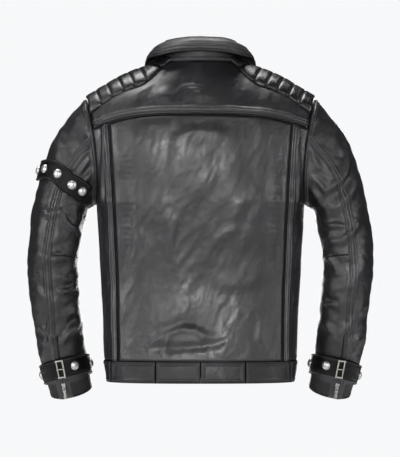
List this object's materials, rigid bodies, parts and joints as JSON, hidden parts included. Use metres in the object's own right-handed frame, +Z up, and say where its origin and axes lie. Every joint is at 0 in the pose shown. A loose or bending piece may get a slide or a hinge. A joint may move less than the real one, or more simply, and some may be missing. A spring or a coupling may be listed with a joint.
{
  "type": "leather riding jacket",
  "caption": "Black leather riding jacket with quilted shoulder pads, fold-down collar, studded arm band, buckled studded cuffs, panelled waistband and zips.",
  "frame": {"origin": "the nape: the middle of the neck seam at the centre back, on the outer face of the back, where the hang loop is sewn in", "axes": "+X to the wearer's right, +Y to the front, +Z up towards the collar"},
  "size_m": [0.7038, 0.2405, 0.7346],
  "materials": {
    "body_leather": "semi-gloss black cowhide, soft grain",
    "sleeve_leather": "semi-gloss black cowhide, creased at the armpit and elbow",
    "collar_leather": "semi-gloss black cowhide",
    "waistband_leather": "semi-gloss black cowhide, topstitched",
    "quilted_leather": "glossy padded black leather",
    "strap_leather": "thick black strap leather, satin",
    "lining": "black woven lining, slight sheen",
    "stud": "bright brushed nickel dome",
    "buckle": "polished nickel wire",
    "zip_metal": "antique nickel",
    "zip_teeth": "antique nickel teeth on black tape"
  },
  "bodies": {
    "jacket": {"back_panel": "body_leather", "back_yoke": "body_leather", "left_back_side_panel": "body_leather", "right_back_side_panel": "body_leather", "left_front_panel": "body_leather", "right_front_panel": "body_leather", "left_shoulder_pad": "quilted_leather", "right_shoulder_pad": "quilted_leather", "collar_stand": "collar_leather", "collar_fall": "collar_leather", "hang_loop": "strap_leather", "body_lining": "lining", "waistband_outer_left": "waistband_leather", "waistband_inner_left": "waistband_leather", "waistband_inner_right": "waistband_leather", "waistband_outer_right": "waistband_leather", "left_waistband_front": "waistband_leather", "right_waistband_front": "waistband_leather", "front_zip_chain": "zip_teeth", "chest_zip_chain": "zip_teeth", "left_pocket_zip_chain": "zip_teeth", "right_pocket_zip_chain": "zip_teeth", "left_sleeve_head": "sleeve_leather", "right_sleeve_head": "sleeve_leather"},
    "left_upper_arm": {"left_upper_sleeve": "sleeve_leather", "left_elbow_panel": "sleeve_leather", "arm_band": "strap_leather", "arm_band_studs": "stud"},
    "left_forearm": {"left_lower_sleeve": "sleeve_leather", "left_cuff_zip_chain": "zip_teeth", "left_cuff_strap": "strap_leather", "left_cuff_studs": "stud", "left_cuff_buckle": "buckle"},
    "right_upper_arm": {"right_upper_sleeve": "sleeve_leather", "right_elbow_panel": "sleeve_leather"},
    "right_forearm": {"right_lower_sleeve": "sleeve_leather", "right_cuff_zip_chain": "zip_teeth", "right_cuff_strap": "strap_leather", "right_cuff_studs": "stud", "right_cuff_buckle": "buckle"},
    "front_zip_slider": {"front_zip_slider": "zip_metal"},
    "front_zip_pull": {"front_zip_pull": "zip_metal"},
    "chest_zip_slider": {"chest_zip_slider": "zip_metal"},
    "chest_zip_pull": {"chest_zip_pull": "zip_metal"},
    "left_pocket_zip_slider": {"left_pocket_zip_slider": "zip_metal"},
    "left_pocket_zip_pull": {"left_pocket_zip_pull": "zip_metal"},
    "right_pocket_zip_slider": {"right_pocket_zip_slider": "zip_metal"},
    "right_pocket_zip_pull": {"right_pocket_zip_pull": "zip_metal"},
    "left_cuff_zip_slider": {"left_cuff_zip_slider": "zip_metal"},
    "left_cuff_zip_pull": {"left_cuff_zip_pull": "zip_metal"},
    "right_cuff_zip_slider": {"right_cuff_zip_slider": "zip_metal"},
    "right_cuff_zip_pull": {"right_cuff_zip_pull": "zip_metal"},
    "left_cuff_prong": {"left_cuff_prong": "buckle"},
    "right_cuff_prong": {"right_cuff_prong": "buckle"}
  },
  "joints": [
    {"name": "left_shoulder", "type": "hinge", "parent": "jacket", "child": "left_upper_arm", "pos_m": [-0.226, 0.076, -0.205], "axis": [0, 1, 0], "range_deg": [0, 60], "deforming": ["left_sleeve_head"]},
    {"name": "left_elbow", "type": "hinge", "parent": "left_upper_arm", "child": "left_forearm", "pos_m": [-0.298, 0.068, -0.445], "axis": [1, 0, 0], "range_deg": [0, 90], "deforming": ["left_elbow_panel"]},
    {"name": "right_shoulder", "type": "hinge", "parent": "jacket", "child": "right_upper_arm", "pos_m": [0.226, 0.076, -0.205], "axis": [0, -1, 0], "range_deg": [0, 60], "deforming": ["right_sleeve_head"]},
    {"name": "right_elbow", "type": "hinge", "parent": "right_upper_arm", "child": "right_forearm", "pos_m": [0.298, 0.068, -0.445], "axis": [1, 0, 0], "range_deg": [0, 90], "deforming": ["right_elbow_panel"]},
    {"name": "front_zip_slide", "type": "slide", "parent": "jacket", "child": "front_zip_slider", "axis": [0, 0.0748, -0.9972], "range_m": [0, 0.5]},
    {"name": "front_zip_pull_hinge", "type": "hinge", "parent": "front_zip_slider", "child": "front_zip_pull", "pos_m": [0, 0.15159, -0.11406], "axis": [1, 0, 0], "range_deg": [0, 150]},
    {"name": "chest_zip_slide", "type": "slide", "parent": "jacket", "child": "chest_zip_slider", "axis": [0.7316, -0.0055, -0.6817], "range_m": [0, 0.095]},
    {"name": "chest_zip_pull_hinge", "type": "hinge", "parent": "chest_zip_slider", "child": "chest_zip_pull", "pos_m": [-0.13808, 0.17412, -0.18897], "axis": [0.6727, -0.1566, 0.7232], "range_deg": [0, 150]},
    {"name": "left_pocket_zip_slide", "type": "slide", "parent": "jacket", "child": "left_pocket_zip_slider", "axis": [0.2261, 0.0801, -0.9708], "range_m": [0, 0.125]},
    {"name": "left_pocket_zip_pull_hinge", "type": "hinge", "parent": "left_pocket_zip_slider", "child": "left_pocket_zip_pull", "pos_m": [-0.15958, 0.16557, -0.38849], "axis": [0.909, 0.341, 0.2398], "range_deg": [0, 150]},
    {"name": "right_pocket_zip_slide", "type": "slide", "parent": "jacket", "child": "right_pocket_zip_slider", "axis": [-0.2261, 0.0801, -0.9708], "range_m": [0, 0.125]},
    {"name": "right_pocket_zip_pull_hinge", "type": "hinge", "parent": "right_pocket_zip_slider", "child": "right_pocket_zip_pull", "pos_m": [0.15958, 0.16557, -0.38849], "axis": [0.909, -0.341, -0.2398], "range_deg": [0, 150]},
    {"name": "left_cuff_zip_slide", "type": "slide", "parent": "left_forearm", "child": "left_cuff_zip_slider", "axis": [0.2069, 0.312, -0.9273], "range_m": [-0.004, 0.018]},
    {"name": "left_cuff_zip_pull_hinge", "type": "hinge", "parent": "left_cuff_zip_slider", "child": "left_cuff_zip_pull", "pos_m": [-0.27787, 0.05646, -0.66483], "axis": [-0.9712, 0.1801, -0.1561], "range_deg": [-15, 120]},
    {"name": "right_cuff_zip_slide", "type": "slide", "parent": "right_forearm", "child": "right_cuff_zip_slider", "axis": [-0.2069, 0.312, -0.9273], "range_m": [-0.004, 0.018]},
    {"name": "right_cuff_zip_pull_hinge", "type": "hinge", "parent": "right_cuff_zip_slider", "child": "right_cuff_zip_pull", "pos_m": [0.27787, 0.05646, -0.66483], "axis": [-0.9712, -0.1801, 0.1561], "range_deg": [-15, 120]},
    {"name": "left_cuff_prong_hinge", "type": "hinge", "parent": "left_forearm", "child": "left_cuff_prong", "pos_m": [-0.2901, 0.04271, -0.62739], "axis": [0.1731, 0.3121, -0.9341], "range_deg": [0, 110]},
    {"name": "right_cuff_prong_hinge", "type": "hinge", "parent": "right_forearm", "child": "right_cuff_prong", "pos_m": [0.2901, 0.04271, -0.62739], "axis": [0.1731, -0.3121, 0.9341], "range_deg": [0, 110]}
  ]
}
